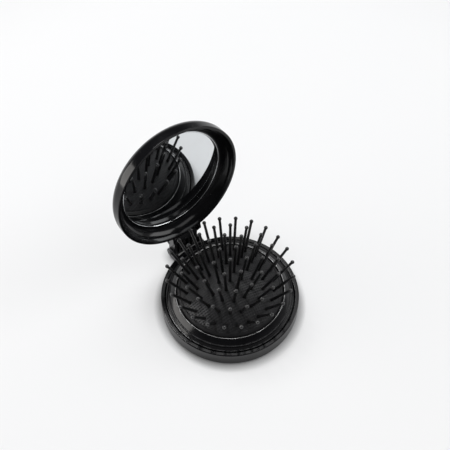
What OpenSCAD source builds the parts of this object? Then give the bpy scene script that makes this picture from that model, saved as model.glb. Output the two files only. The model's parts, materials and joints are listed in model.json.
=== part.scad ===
// Folding hairbrush with mirror: a round compact with a pop-up brush in its base
// and a mirror in its lid, joined at the back by a link that turns on two pins.
// Millimetres. Origin: centre of the base's resting face. +Z up, the hinge on +Y.
// Rest pose: bristles popped up, lid open against its stop, link upright.

/* [Case] */
// Outside diameter of the base and of the lid
case_d = 66; // [62:0.5:72]
// Height of the base, from the resting face to its rim
base_h = 9; // [8:0.1:11]
// Height of the lid, from its rim to the edge of its back
lid_h = 8.5; // [8.3:0.1:10]
// Rise of the lid's slightly domed back
lid_crown = 0.6; // [0.2:0.1:1.5]
// Wall of the case
wall = 1.3; // [1:0.1:1.8]
// Thickness of the base's floor
floor_t = 1.4; // [1:0.1:2]
// Rounding of the base's lower edge
base_edge_r = 2.2; // [1:0.1:3]
// Rounding of the lid's back edge
lid_edge_r = 5.1; // [3:0.1:5.5]
// How far the snap beads on both bezels reach into the case's wall
snap_bead = 0.3; // [0.2:0.05:0.4]
// Gap left between the two rims when the lid is closed
rim_gap = 0.3; // [0.2:0.05:0.6]
// Bevel on the outer corner of both rims
rim_bevel = 0.3; // [0.1:0.1:0.5]

/* [Base bezel] */
// Groove between the rim and the bezel
groove_w = 0.4; // [0.3:0.1:0.8]
// Flat land at the foot of the bezel
land_w = 0.7; // [0.4:0.1:1]
// Width of the bezel, from the groove to the lip that frames the cushion
bezel_w = 3.9; // [3.2:0.1:4.6]
// Rise of the bezel's crest above the rim
bezel_rise = 4.4; // [3:0.1:4.8]
// Width of the crest and radius of its inner edge
crest_w = 0.5; // [0.4:0.1:0.8]
// Height of the step between the land and the bezel's slope
slope_step = 0.3; // [0.1:0.1:0.6]
// Height of the ledge that the bezel's skirt stands on
ledge_h = 4; // [3:0.1:5]

/* [Cushion] */
// Height of the dome's top above the rim
dome_rise = 13.3; // [12:0.1:13.6]
// Thickness of the rubber
dome_t = 1.4; // [1:0.1:1.8]
// Gap between the dome's edge and the bezel's lip
lip_gap = 1; // [0.5:0.1:1.5]
// Height of the dome's edge above its flange
edge_step = 0.8; // [0.5:0.1:1.2]
// Distance of the raised line round the dome from its edge
bead_inset = 1.6; // [1.2:0.1:2.5]
// Radius of that line's rounded top
bead_r = 0.3; // [0.2:0.05:0.4]
// Height of the flange's upper face above the rim
flange_rise = 2; // [1.8:0.1:2.4]
// Thickness of the flange that is clamped under the bezel
flange_t = 1.4; // [1:0.1:1.6]
// Width of the clamp ring and of the flange above it
clamp_w = 3.8; // [3.2:0.1:4]
// How far the clamp ring reaches in under the dome's edge
clamp_reach = 1.2; // [1:0.1:1.6]
// Thickness of the clamp ring
clamp_t = 1.4; // [1:0.1:1.8]
// How far the seat under the clamp ring lies inside the ring's edge
seat_inset = 1.6; // [1.2:0.1:2]

/* [Bristle pins] */
// Rings of pins round the centre pin; ring k holds 6 x k pins
pin_rings = 4; // [2:1:4]
// Spacing of the rings on the dome
ring_pitch = 5.2; // [4.5:0.1:5.3]
// Height of the centre pin's ball above the rim
tip_rise = 32; // [28:0.5:34]
// Radius of the sphere that all the balls lie on
tip_sphere_r = 46.6; // [40:0.2:60]
// Diameter of a pin
pin_d = 1.2; // [0.8:0.1:1.4]
// Diameter of the ball on a pin's tip
ball_d = 1.9; // [1.4:0.05:2.2]
// Diameter of the head that holds a pin behind the rubber
head_d = 2.2; // [1.8:0.1:2.6]
// Thickness of that head
head_t = 0.6; // [0.4:0.1:0.8]
// Turn of the whole pattern away from the hinge
pattern_turn = 3; // [0:1:15]

/* [Push button] */
// Diameter of the thumb hole in the floor
thumb_d = 34; // [28:0.5:36]
// Travel of the button between folded and popped up
stroke = 9.5; // [9:0.1:10]
// Height of the button's face above the table when the brush is folded
button_lift = 0.4; // [0.3:0.1:0.8]
// Height of the collar that guides the button
collar_h = 11; // [10:0.1:11.2]
// Thickness of the button's face
button_t = 1.4; // [1:0.1:2]
// Height of the button's guiding skirt
skirt_h = 3; // [2:0.1:4]
// Width of the flat margin round the thumb dish
dish_margin = 3.4; // [2:0.2:5]
// Depth of the thumb dish in the button's face
dish_depth = 0.6; // [0.3:0.1:0.8]
// How far the lip in the hole's mouth reaches in under the button, to hold it in
mouth_lip = 0.5; // [0.4:0.1:0.8]
// Bevel at the mouth of the thumb hole
mouth_bevel = 0.4; // [0.2:0.1:0.6]
// Height of the button's narrower foot, which fits through the lip
foot_h = 1; // [0.9:0.1:1.2]
// Diameter of the button's stem
stem_d = 4.6; // [4:0.1:6]
// Diameter of the spigot on top of the stem
spigot_d = 3; // [2:0.1:3.5]
// Diameter of the spreader disc under the dome
spreader_d = 15; // [12:0.5:16]
// Thickness of the spreader disc at its middle
spreader_t = 2; // [1.6:0.1:2.4]
// Ribs that brace the stem, and ribs between the collar and the clamp ring's seat
rib_n = 6; // [3:1:8]
// Thickness of every rib
rib_t = 1; // [0.8:0.1:1.4]
// Height of the stem's ribs where they meet the stem
rib_rise = 3.1; // [2:0.1:3.5]
// Height of the stem's ribs at their outer end
rib_toe = 0.6; // [0.4:0.1:1]

/* [Hinge] */
// Distance of both hinge axes from the case's axis, beyond its wall
pivot_out = 5.5; // [5.2:0.1:6.5]
// Distance of each hinge axis from its own rim
pivot_drop = 5; // [4.6:0.1:5.6]
// Angle between the rims at rest
open_angle = 99.2; // [80:0.2:110]
// Diameter of the hinge pins
hinge_pin_d = 1.5; // [1.2:0.1:2]
// Width of the link
link_w = 13.5; // [12:0.1:18]
// Radius of the link's and the ears' rounded ends
knuckle_r = 2.6; // [2.2:0.1:2.8]
// Thickness of an ear
ear_t = 2; // [1.6:0.1:2.6]
// How far the ears stay below their own rim, and the pins' ends below the ears' faces
ear_inset = 0.2; // [0.1:0.1:0.4]
// Slope of the ears' outer edge
ear_slope = 30; // [20:1:40]
// Depth of the grooves in the link's two faces
groove_depth = 1.2; // [0.6:0.1:1.4]
// Narrow grooves on each side of the link's middle recess
groove_n = 2; // [1:1:2]
// Width of the link's narrow grooves and of the ribs between them
link_rib_w = 1; // [0.8:0.1:1.1]
// Width of the plain margin at the link's two sides
link_margin = 1.4; // [1:0.1:1.8]
// How far the narrow grooves stop short of the hinge axes
groove_stop = 0.8; // [0.6:0.1:1.2]
// How much shorter the middle recess is at each end
recess_stop = 0.8; // [0.4:0.1:1.2]

/* [Mirror] */
// Width of the bowl round the mirror, from the lid's wall to the glass that shows
bowl_w = 5.5; // [4.5:0.1:6.5]
// Depth of the mirror below the lid's rim
mirror_depth = 6.3; // [5.6:0.1:6.5]
// Thickness of the glass
mirror_t = 0.9; // [0.8:0.1:1]
// Width of the glass hidden behind its bezel
mirror_lap = 0.8; // [0.5:0.1:1]
// Thickness of the bowl's lip over the glass
glass_lip_t = 0.4; // [0.3:0.1:0.6]
// Thickness of the adhesive pad behind the glass
pad_t = 0.2; // [0.1:0.05:0.2]
// How far the pad's edge lies inside the mirror that shows
pad_inset = 2; // [1:0.5:4]

/* [Fits] */
// Side clearance of parts that slide or turn past each other
slide_gap = 0.15; // [0.1:0.05:0.25]
// Radial clearance of the link on its pins
run_gap = 0.05; // [0.02:0.01:0.1]
// Radial clearance of pins held in their holes
hold_gap = 0.02; // [0.01:0.01:0.04]
// Clearance of fixed pieces that fit inside each other
seat_gap = 0.1; // [0.05:0.05:0.15]
// Clearance between the moving pieces and what they rest near
soft_gap = 0.3; // [0.2:0.05:0.4]
// Clearance of the pins' heads behind the rubber
head_gap = 0.03; // [0.02:0.01:0.06]

/* [Hidden] */
$fn = 96;
big_fn = 360;   // wide spheres and domes
pin_fn = 24;    // pins and their holes
eps = 0.01;     // joins solids of one piece
over = 1;       // how far a cut runs past what it cuts

plastic = "#1c1c1f";
rubber = "#232325";
steel = "#9a9ca0";
glass = "#c9d3da";

// radii of the case, from the outside in
case_r = case_d / 2;
bore_r = case_r - wall;
bezel_r = bore_r - groove_w;
skirt_r = bezel_r - wall;
lip_r = bezel_r - bezel_w;
edge_r = lip_r - lip_gap;
clamp_in_r = edge_r - clamp_reach;
flange_r = clamp_in_r + clamp_w;
seat_r = flange_r - seat_inset;
thumb_r = thumb_d / 2;
mouth_r = thumb_r - mouth_lip;

// heights in the base
shoulder_z = base_h + flange_rise;
flange_z = shoulder_z - flange_t;
clamp_z = flange_z - clamp_t;
dome_top_z = base_h + dome_rise;
dome_edge_z = shoulder_z + edge_step;
dome_r = sphere_r(edge_r, dome_top_z - dome_edge_z);
dome_in_r = dome_r - dome_t;
dome_z = dome_top_z - dome_r;
tip_z = base_h + tip_rise - tip_sphere_r;
head_z = dome_in_r - head_gap - head_t;
button_z = button_lift + stroke;
mouth_lip_z = button_lift + foot_h - soft_gap;
base_snap_z = (ledge_h + base_h) / 2;
spreader_z = dome_z + head_z - soft_gap - spreader_t;

// hinge
pivot_y = case_r + pivot_out;
low_pivot_z = base_h - pivot_drop;
closed_rim_z = base_h + rim_gap;
top_pivot_z = closed_rim_z + pivot_drop;
ear_x = link_w / 2 + slide_gap;

// lid, drawn closed over the base
view_r = bore_r - bowl_w;
glass_r = view_r + mirror_lap;
mirror_z = closed_rim_z + mirror_depth;
back_z = mirror_z + mirror_t + pad_t;
lid_edge = [case_r - lid_edge_r, closed_rim_z + lid_h - lid_edge_r];
lid_snap_z = closed_rim_z + pivot_drop / 2;

// radius of the sphere whose cap has the base radius a and the height h
function sphere_r(a, h) = (a * a + h * h) / (2 * h);

// points of an elliptical arc about c, from angle a0 to a1
function arc(c, rx, ry, a0, a1, n = 12) =
    [for (i = [0:n]) let (a = a0 + (a1 - a0) * i / n) [c[0] + rx * cos(a), c[1] + ry * sin(a)]];

// tilt of a pin whose root lies at the distance d from the axis
function pin_tilt(d) = asin(d / dome_r);

// distance from the dome's centre, along a pin of tilt t, to the sphere that holds the balls
function ball_reach(t) = let (up = tip_z - dome_z)
    up * cos(t) + sqrt(tip_sphere_r * tip_sphere_r - pow(up * sin(t), 2));

// copies the children round the axis
module around(n) {
    for (i = [0:n - 1])
        rotate([0, 0, i * 360 / n])
            children();
}

// a plate of the drawn outline, in the YZ plane, from x0 to x1
module side_plate(x0, x1) {
    translate([x0, 0, 0])
        rotate([90, 0, 90])
            linear_extrude(x1 - x0)
                children();
}

// a cylinder along X, centred on the middle plane
module cross_bore(y, z, r, half) {
    translate([-half, y, z])
        rotate([0, 90, 0])
            cylinder(r = r, h = 2 * half);
}

// a ring of rectangular section, for rotate_extrude
module ring_section(r0, r1, z0, z1) {
    translate([r0, z0])
        square([r1 - r0, z1 - z0]);
}

// section of a snap bead, or of its groove, that narrows from the radius r0 to the point r1
module snap_section(r0, r1, z) {
    polygon([[r0, z - r1 + r0], [r1, z], [r0, z + r1 - r0]]);
}

// ---- hinge ears, alike on the base and the lid ----

// one ear: up = 1 on the base, whose hinge axis lies below the rim, and -1 on the lid
module ear_outline(rim_z, up) {
    z = rim_z - up * pivot_drop;
    top = rim_z - up * ear_inset;
    shoulder_y = pivot_y - knuckle_r - soft_gap;
    translate([pivot_y, z])
        circle(r = knuckle_r);
    polygon([
        [skirt_r, z - up * knuckle_r],
        [pivot_y, z - up * knuckle_r],
        [pivot_y + knuckle_r * cos(ear_slope), z + up * knuckle_r * sin(ear_slope)],
        [shoulder_y, top],
        [skirt_r, top]
    ]);
}

module ears(rim_z, up) {
    for (side = [0, 1])
        mirror([side, 0, 0])
            side_plate(ear_x, ear_x + ear_t)
                ear_outline(rim_z, up);
}

// the children without what lies inside the case's wall, so that the ears stop in it
module outside_wall(z0, z1) {
    difference() {
        children();
        translate([0, 0, z0])
            cylinder(r = bore_r + wall / 2, h = z1 - z0);
    }
}

// ---- base ----

module base_shell_section() {
    difference() {
        polygon(concat(
            [[0, 0]],
            arc([case_r - base_edge_r, base_edge_r], base_edge_r, base_edge_r, -90, 0),
            [[case_r, base_h - rim_bevel], [case_r - rim_bevel, base_h], [0, base_h]]
        ));
        ring_section(0, bore_r, ledge_h, base_h + over);
        ring_section(0, skirt_r, floor_t, ledge_h + over);
        ring_section(0, thumb_r, mouth_lip_z, ledge_h);
        ring_section(0, mouth_r, -over, ledge_h);
        translate([mouth_r, 0])
            rotate(45)
                square(mouth_bevel * sqrt(2), center = true);
        snap_section(bore_r - eps, bore_r + snap_bead, base_snap_z);
    }
    ring_section(thumb_r, thumb_r + wall, floor_t - eps, collar_h);
    ring_section(seat_r, seat_r + wall, floor_t - eps, clamp_z);
}

module base_shell() color(plastic) {
    difference() {
        union() {
            rotate_extrude()
                base_shell_section();
            around(rib_n)
                translate([thumb_r + wall / 2, -rib_t / 2, floor_t - eps])
                    cube([seat_r - thumb_r, rib_t, ledge_h - floor_t + eps]);
            outside_wall(-over, base_h + over)
                ears(base_h, 1);
        }
        cross_bore(pivot_y, low_pivot_z, hinge_pin_d / 2 + hold_gap, ear_x + ear_t + over);
    }
}

module base_bezel() color(plastic) {
    land_z = base_h + seat_gap;
    slope_r = bezel_r - land_w;
    slope_z = land_z + slope_step;
    crest_r = lip_r + crest_w;
    crest_z = base_h + bezel_rise;
    rotate_extrude() {
        difference() {
            polygon(concat(
                [[lip_r, shoulder_z], [lip_r, ledge_h], [bezel_r, ledge_h]],
                [[bezel_r, land_z - rim_bevel], [bezel_r - rim_bevel, land_z], [slope_r, land_z]],
                arc([crest_r, slope_z], slope_r - crest_r, crest_z - slope_z, 0, 90, 16),
                arc([crest_r, crest_z - crest_w], crest_w, crest_w, 100, 180, 6)
            ));
            ring_section(0, flange_r + slide_gap, clamp_z, shoulder_z);
            ring_section(0, skirt_r, 0, clamp_z + eps);
        }
        snap_section(bezel_r - eps, bore_r + snap_bead - seat_gap, base_snap_z);
    }
}

module clamp_ring() color(plastic)
    rotate_extrude()
        ring_section(clamp_in_r, flange_r, clamp_z, flange_z);

// ---- brush ----

module cushion() color(rubber) {
    bead_at = edge_r - bead_inset;
    difference() {
        rotate_extrude()
            difference() {
                union() {
                    intersection() {
                        translate([0, dome_z])
                            circle(r = dome_r, $fn = big_fn);
                        ring_section(0, edge_r, flange_z, dome_top_z);
                    }
                    translate([bead_at, dome_z + sqrt(dome_r * dome_r - bead_at * bead_at) - bead_r / 2])
                        circle(r = bead_r, $fn = pin_fn);
                    ring_section(clamp_in_r, flange_r, flange_z, shoulder_z);
                }
                intersection() {
                    translate([0, dome_z])
                        circle(r = dome_in_r, $fn = big_fn);
                    ring_section(-over, clamp_in_r, flange_z - over, dome_top_z);
                }
            }
        pin_pattern(0, pin_rings)
            translate([0, 0, dome_in_r - over])
                cylinder(r = pin_d / 2 + hold_gap, h = dome_t + 2 * over, $fn = pin_fn);
    }
}

// the children, drawn along +Z from the dome's centre, at every pin of rings k0 to k1
module pin_pattern(k0, k1) {
    for (k = [k0:k1])
        translate([0, 0, dome_z])
            rotate([0, 0, pattern_turn])
                around(max(1, 6 * k))
                    rotate([-pin_tilt(k * ring_pitch), 0, 0])
                        children();
}

// one ring of pins: a head behind the rubber, the shaft and the ball on its tip
module pin_ring(k) color(plastic) {
    reach = ball_reach(pin_tilt(k * ring_pitch));
    if (k <= pin_rings)
        pin_pattern(k, k)
            translate([0, 0, head_z]) {
                cylinder(r = head_d / 2, h = head_t, $fn = pin_fn);
                translate([0, 0, head_t / 2])
                    cylinder(r = pin_d / 2, h = reach - head_z - head_t / 2, $fn = pin_fn);
                translate([0, 0, reach - head_z])
                    sphere(r = ball_d / 2, $fn = pin_fn);
            }
}

module pin_centre() pin_ring(0);
module pins_ring_1() pin_ring(1);
module pins_ring_2() pin_ring(2);
module pins_ring_3() pin_ring(3);
module pins_ring_4() pin_ring(4);

// the thumb pushes this up from below, and it turns the dome outward
module push_button() color(plastic) {
    plate_r = thumb_r - slide_gap;
    dish_r = sphere_r(thumb_r - dish_margin, dish_depth);
    stem_h = spreader_z - button_z;
    translate([0, 0, button_z]) {
        difference() {
            union() {
                cylinder(r = mouth_r - slide_gap, h = foot_h + eps);
                translate([0, 0, foot_h])
                    cylinder(r = plate_r, h = skirt_h - foot_h);
            }
            translate([0, 0, button_t])
                cylinder(r = plate_r - wall, h = skirt_h);
            translate([0, 0, dish_depth - dish_r])
                sphere(r = dish_r, $fn = big_fn);
        }
        around(rib_n)
            rotate([90, 0, 0])
                translate([0, 0, -rib_t / 2])
                    linear_extrude(rib_t)
                        polygon([
                            [0, button_t - eps],
                            [plate_r - wall / 2, button_t - eps],
                            [plate_r - wall / 2, button_t + rib_toe],
                            [stem_d / 2, button_t + rib_rise],
                            [0, button_t + rib_rise]
                        ]);
        translate([0, 0, button_t - eps])
            cylinder(d = stem_d, h = stem_h - button_t + eps);
        translate([0, 0, button_t])
            cylinder(d = spigot_d, h = stem_h + spreader_t - seat_gap - button_t);
    }
}

// its top is domed, parallel to the rubber
module spreader_disc() color(plastic)
    rotate_extrude()
        intersection() {
            ring_section(spigot_d / 2 + hold_gap, spreader_d / 2, spreader_z, spreader_z + spreader_t);
            translate([0, dome_z])
                circle(r = head_z - soft_gap, $fn = big_fn);
        }

// ---- hinge ----

module hinge_pin(z) color(steel)
    cross_bore(pivot_y, z, hinge_pin_d / 2, ear_x + ear_t - ear_inset);

module lower_hinge_pin() hinge_pin(low_pivot_z);
module upper_hinge_pin() hinge_pin(top_pivot_z);

// a groove in both faces of the link, from x0 to x1, that stops short of the hinge axes
module link_groove(x0, x1, stop) {
    for (turn = [0, 180])
        translate([0, pivot_y, low_pivot_z + stop])
            rotate([0, 0, turn])
                translate([x0, knuckle_r - groove_depth, 0])
                    cube([x1 - x0, knuckle_r, top_pivot_z - low_pivot_z - 2 * stop]);
}

module hinge_link() color(plastic) {
    recess_x = link_w / 2 - link_margin - (2 * groove_n) * link_rib_w;
    difference() {
        side_plate(-link_w / 2, link_w / 2) {
            for (z = [low_pivot_z, top_pivot_z])
                translate([pivot_y, z])
                    circle(r = knuckle_r);
            translate([pivot_y - knuckle_r, low_pivot_z])
                square([2 * knuckle_r, top_pivot_z - low_pivot_z]);
        }
        for (z = [low_pivot_z, top_pivot_z])
            cross_bore(pivot_y, z, hinge_pin_d / 2 + run_gap, link_w / 2 + over);
        for (side = [0, 1], k = [1:groove_n])
            mirror([side, 0, 0])
                link_groove(recess_x + (2 * k - 1) * link_rib_w, recess_x + 2 * k * link_rib_w,
                    groove_stop);
        link_groove(-recess_x, recess_x, groove_stop + recess_stop);
    }
}

// ---- lid, drawn closed and swung open about the upper pin ----

module open_lid() {
    translate([0, pivot_y, top_pivot_z])
        rotate([-open_angle, 0, 0])
            translate([0, -pivot_y, -top_pivot_z])
                children();
}

// section of the space inside the lid's shell, from the height z0 up, less a gap all round
module lid_inside(z0, gap) {
    polygon(concat(
        [[0, z0], [bore_r - gap, z0]],
        arc(lid_edge, lid_edge_r - wall - gap, back_z - lid_edge[1] - gap, 0, 90),
        [[0, back_z - gap]]
    ));
}

module lid_shell_section() {
    crown_r = sphere_r(lid_edge[0], lid_crown);
    crown_z = closed_rim_z + lid_h + lid_crown - crown_r;
    difference() {
        polygon(concat(
            [[0, closed_rim_z], [case_r - rim_bevel, closed_rim_z]],
            [[case_r, closed_rim_z + rim_bevel]],
            arc(lid_edge, lid_edge_r, lid_edge_r, 0, 84, 14),
            arc([0, crown_z], crown_r, crown_r, acos(lid_edge[0] / crown_r), 90)
        ));
        lid_inside(closed_rim_z - over, 0);
        snap_section(bore_r - eps, bore_r + snap_bead, lid_snap_z);
    }
}

module lid_shell() color(plastic) open_lid() {
    difference() {
        union() {
            rotate_extrude()
                lid_shell_section();
            outside_wall(closed_rim_z - over, closed_rim_z + lid_h)
                ears(closed_rim_z, -1);
        }
        cross_bore(pivot_y, top_pivot_z, hinge_pin_d / 2 + hold_gap, ear_x + ear_t + over);
    }
}

module mirror_bezel() color(plastic) open_lid() {
    bowl_r = bore_r - 2 * seat_gap;
    bowl_z = closed_rim_z + seat_gap;
    lip_z = mirror_z - glass_lip_t;
    rotate_extrude() {
        difference() {
            lid_inside(bowl_z, seat_gap);
            polygon(concat(
                [[0, bowl_z - over], [bowl_r, bowl_z - over]],
                arc([view_r, bowl_z], bowl_r - view_r, lip_z - bowl_z, 0, 90, 16),
                [[0, lip_z]]
            ));
            ring_section(0, view_r, bowl_z, mirror_z + eps);
            ring_section(0, glass_r + seat_gap, mirror_z, back_z);
        }
        snap_section(bore_r - seat_gap - eps, bore_r + snap_bead - seat_gap, lid_snap_z);
    }
}

module mirror_glass() color(glass) open_lid()
    translate([0, 0, mirror_z])
        cylinder(r = glass_r, h = mirror_t);

module mirror_pad() color(rubber) open_lid()
    translate([0, 0, mirror_z + mirror_t])
        cylinder(r = view_r - pad_inset, h = pad_t);

base_shell();
base_bezel();
cushion();
clamp_ring();
pin_centre();
pins_ring_1();
pins_ring_2();
pins_ring_3();
pins_ring_4();
push_button();
spreader_disc();
lower_hinge_pin();
hinge_link();
upper_hinge_pin();
lid_shell();
mirror_bezel();
mirror_glass();  // mirror
mirror_pad();
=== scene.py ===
import json
import math

import bmesh
import bpy
import numpy as np
from mathutils import Matrix, Vector
from mathutils.geometry import delaunay_2d_cdt

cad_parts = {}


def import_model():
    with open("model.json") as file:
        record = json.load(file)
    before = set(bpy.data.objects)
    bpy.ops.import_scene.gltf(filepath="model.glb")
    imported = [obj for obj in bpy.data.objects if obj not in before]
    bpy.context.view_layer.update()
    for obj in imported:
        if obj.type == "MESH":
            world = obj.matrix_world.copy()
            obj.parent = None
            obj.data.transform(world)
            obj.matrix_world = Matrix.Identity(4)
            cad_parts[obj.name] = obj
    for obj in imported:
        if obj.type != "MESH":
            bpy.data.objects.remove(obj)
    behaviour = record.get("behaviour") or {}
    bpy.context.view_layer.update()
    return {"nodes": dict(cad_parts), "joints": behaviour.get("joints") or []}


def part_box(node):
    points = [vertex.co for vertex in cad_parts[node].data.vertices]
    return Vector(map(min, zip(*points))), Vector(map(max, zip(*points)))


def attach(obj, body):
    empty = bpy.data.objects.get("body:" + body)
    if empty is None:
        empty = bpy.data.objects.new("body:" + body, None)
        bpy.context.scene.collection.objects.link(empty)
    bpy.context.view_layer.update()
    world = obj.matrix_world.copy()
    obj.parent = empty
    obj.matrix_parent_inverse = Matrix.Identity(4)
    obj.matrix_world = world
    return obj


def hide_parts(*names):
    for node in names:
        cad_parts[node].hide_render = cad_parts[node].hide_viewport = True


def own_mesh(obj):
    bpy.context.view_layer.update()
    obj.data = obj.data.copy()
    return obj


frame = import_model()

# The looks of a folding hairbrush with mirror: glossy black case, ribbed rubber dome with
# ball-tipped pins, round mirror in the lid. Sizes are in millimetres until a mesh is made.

MM = 0.001
LOW, HIGH = 0, 1             # corners of a node's box
X, Z = 0, 2


def side(node, corner, axis):
    """One side of a CAD node's box, in millimetres."""
    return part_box(node)[corner][axis] / MM


def joint(name):
    return next(j for j in frame["joints"] if j["name"] == name)


def sphere_r(a, h):
    """Radius of the sphere whose cap has the base radius a and the height h."""
    return (a * a + h * h) / (2 * h)


# ---- sizes of the case ----
case_r = side("lid_shell", HIGH, X)
base_h = 9.0
wall = 1.3
floor_t = 1.4
base_edge_r = 2.2
base_rim_round = 0.5         # outer corner of the base's rim
joint_round = 0.35           # its inner corner, at the joint with the bezel
fine_round = 0.12            # corners that hardly show
bore_r = case_r - wall
rim_in_r = case_r - 2.0      # the base's rim reaches in to here
thumb_r = 17.0
mouth_r = 16.5               # lip that holds the button in
mouth_lip_z = 1.1
mouth_round = 0.4
collar_h = 11.0
seat_r = 27.4                # ring that carries the clamp ring
seat_h = 8.2

# ---- bezel round the brush ----
bezel_r = side("base_bezel", HIGH, X)
ledge_z = side("base_bezel", LOW, Z)
skirt_r = bezel_r - wall
land_r = case_r - 2.4        # narrow flat beside the joint
land_z = base_h + 0.05
foot_r = case_r - 3.0        # the slope rises from here
foot_support = 0.05          # keeps the flat's shading off the slope
slope_bulge = 5              # degrees that it bends, each way, from a straight cone
slope_stop = (0.2, -0.12)    # its top, seen from the crest's highest point
crest_z = base_h + 4.4
crest_w = 0.35
crest_start = 62             # degrees round the crest at which it leaves the slope
lip_r = case_r - 7.2
flange_gap = 0.15            # round the cushion's flange

# ---- rubber dome ----
flange_r = side("cushion", HIGH, X)
flange_z = side("cushion", LOW, Z)
flange_t = 1.4
shoulder_z = flange_z + flange_t
clamp_in_r = 25.2
edge_r = lip_r - 0.3
edge_z = shoulder_z + 0.8
edge_w = 0.6                 # flat between the dome and its edge
edge_round = 0.25
bead_r = 0.3                 # raised ring near the dome's edge
bead_at = edge_r - 1.4
dome_top_z = 22.3
dome_t = 1.4
dome_r = sphere_r(bezel_r - 4.9, dome_top_z - edge_z)
dome_z = dome_top_z - dome_r
relief_edge = bead_at - 0.4  # the moulded grid ends here
relief_fade = 0.5            # after fading out over this width
grid_pitch = 1.2
grid_turn = math.radians(-8)
grid_steps = 5               # mesh points to one pitch
grid_sharpness = 1.6         # above 1 the ribs get flat tops
rib_relief = 0.11            # height of the grid's ribs
cross_relief = 0.06          # height of its cross lines
funnel_r = 1.15              # sunken ring round each pin
funnel_depth = 0.45

# where the painted highlight on the ribs is strongest: each place, and how strongly
highlight_spots = (((-23, -3, 14.5), 1.5), ((9, -7, 20.5), 0.5))
highlight_r = (5.0, 10.0)         # full strength inside the first radius, none past the second
rib_highlight_level = 0.12          # of the ribs everywhere else

# ---- pins ----
pin_rings = 4
ring_pitch = 5.2
pattern_turn = math.radians(3)
tip_sphere_r = 46.6
tip_z = base_h + 32 - tip_sphere_r
root_r = 0.74                # a pin tapers from this at the rubber
root_h = 0.7                 # above the funnel's bottom
shank_r = root_r * 1.25      # inside the rubber
neck_r = 0.64                # it is this thin under its ball
neck_h = 0.35
ball_r = 0.94
head_r = 1.1
head_t = 0.6
head_gap = 0.03              # between the head and the rubber
head_z = dome_r - dome_t - head_t - head_gap

# ---- push button ----
button_z = side("push_button", LOW, Z)
button_r = side("push_button", HIGH, X)
button_t = 1.4
button_skirt_h = 3.0
button_round = 0.35
button_foot_r = 16.35
button_foot_h = 1.0
dish_r = 13.6                # hollow for the thumb
dish_depth = 0.6
stem_r = 2.3
stem_round = 0.3
spigot_r = 1.5               # the stem's tip, in the spreader disc
spigot_h = 1.9
spigot_round = 0.2
spreader_z = side("spreader_disc", LOW, Z)
stem_rib_n = 6
stem_rib_t = 1.0
stem_rib_start = 0.5         # from the axis, inside the stem
stem_rib_rise = 3.1
stem_rib_toe = 0.6
stem_rib_sink = 0.2          # into the button's plate
stem_rib_reach = 0.3         # into its skirt
stem_rib_round = 0.1

# ---- hinge ----
low_pivot = Vector(joint("link_hinge")["pos_m"]) / MM
top_pivot = Vector(joint("lid_hinge")["pos_m"]) / MM
open_angle = -joint("lid_hinge")["range_deg"][0]
link_w = side("hinge_link", HIGH, X) * 2
knuckle_r = 2.6
ear_x = link_w / 2 + 0.15    # inner face of an ear
ear_t = 1.3
ear_inset = 0.2              # below the rim
ear_slope = 30
ear_round = 0.28
ear_shoulder_round = 0.6
ear_root_y = 31.2            # inside the case's wall
ear_shoulder_y = low_pivot.y - knuckle_r - 0.3
lid_ear_root_y = 29.3
lid_ear_root_h = 3.8         # down from the lid's edge
hinge_pin_r = 0.75
hinge_pin_round = 0.3
hinge_pin_gap = 0.02
hinge_pin_inset = 0.25       # its end lies this far inside the ear
link_margin = 1.4
link_rib_w = 1.0
link_groove_n = 2
link_groove_depth = 1.2
link_groove_stop = 0.8
link_recess_stop = 1.6
link_round = 0.16
link_crest_round = 0.1       # corners at a groove's ends, outside
link_corner_round = 0.15     # and inside
link_join = 0.15             # how far slices reach into each other

# ---- lid, drawn closed over the base and then swung open ----
lid_rim_z = base_h + 0.3
lid_rim_round = 0.3
lid_h = 8.5
lid_crown = 0.6
lid_edge_r = 5.1
lid_edge_stop = 84           # degrees round the edge at which the crown begins
lid_edge = (case_r - lid_edge_r, lid_rim_z + lid_h - lid_edge_r)
lid_floor_z = 16.7           # inside of the lid's back
seat_gap = 0.1
bowl_w = 5.5
view_r = bore_r - bowl_w     # radius of the glass that shows
glass_z = lid_rim_z + 6.3
glass_t = 0.9
glass_r = view_r + 0.8
glass_lip_t = 0.4
glass_back_z = glass_z + glass_t + 0.5
glass_edge = (view_r + 0.40, glass_z - glass_lip_t - 0.06)
glass_edge_r = 0.33          # bright ground edge of the glass
lip_in = 0.5                 # the bowl ends this far outside the opening
lip_ridge = (0.17, 0.14)     # ridge round the opening: foot and top, from its edge
lip_ridge_h = 0.12
silver_z = glass_z + 0.04    # middle of the silvered back, seen through the glass
silver_r = 1300.0            # it bulges forward very slightly
silver_tilt = 0.02           # it lies deeper towards the hinge
silver_lean = Vector((-0.010, -0.0108, -0.0725))   # how far it faces down and to the left

turned_faces = 288           # round a large turned piece
pin_faces = 20               # round one pin of the brush
hinge_pin_faces = 48
on_axis = 1e-6               # a smaller radius than this is a point on the axis


# ---- outlines ----

def arc(centre, rx, ry, start, stop, n):
    """Points of an elliptical arc from one angle to another, in degrees."""
    angles = [math.radians(start + (stop - start) * i / n) for i in range(n + 1)]
    return [(centre[0] + rx * math.cos(a), centre[1] + ry * math.sin(a)) for a in angles]


def bowed(start, end, bulge, n):
    """Points of a circle's arc between two points, bent outward by bulge degrees at each end."""
    chord = Vector(end) - Vector(start)
    radius = chord.length / 2 / math.sin(math.radians(bulge))
    inward = Vector((-chord.y, chord.x)).normalized()
    middle = (Vector(start) + Vector(end)) / 2
    centre = middle + inward * radius * math.cos(math.radians(bulge))
    first = Vector(start) - centre
    return [
        tuple(centre + Matrix.Rotation(math.radians(2 * bulge) * i / n, 2) @ first)
        for i in range(n + 1)
    ]


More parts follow.
